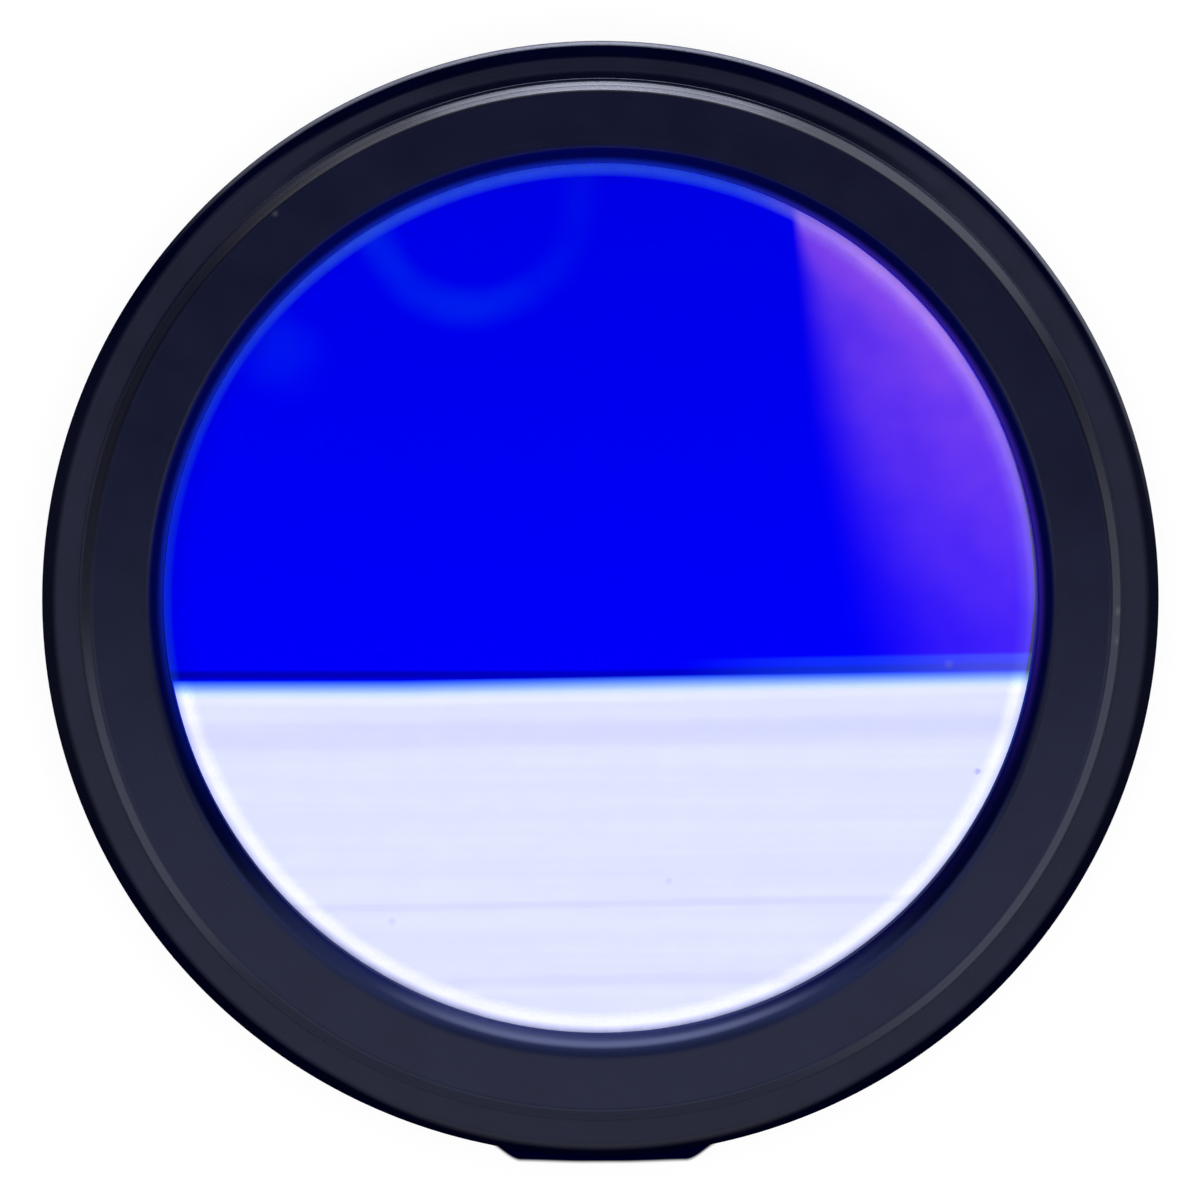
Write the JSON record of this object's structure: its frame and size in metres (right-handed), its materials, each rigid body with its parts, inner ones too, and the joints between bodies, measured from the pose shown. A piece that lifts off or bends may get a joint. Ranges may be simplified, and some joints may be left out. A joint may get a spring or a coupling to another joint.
{
  "type": "optical bandpass filter",
  "caption": "Round ring-mounted interference filter: a blue coated glass plate held between the lip of a black anodised cell and a screwed ring.",
  "frame": {"origin": "centre of the cell's back face, on the optical axis; the filter lies on this face", "axes": "+Z along the optical axis towards the front face with the lip; +X and +Y across the glass, with +Y up in the picture"},
  "size_m": [0.025, 0.025, 0.005],
  "materials": {
    "cell": "black anodised, fine turned, satin",
    "glass": "polished, with a mirror-like interference coating that passes blue",
    "slip": "thin black plastic film",
    "retainer": "black anodised, satin"
  },
  "bodies": {
    "root": {"filter_cell": "cell", "filter_glass": "glass", "slip_ring": "slip", "retaining_ring": "retainer"}
  },
  "joints": []
}
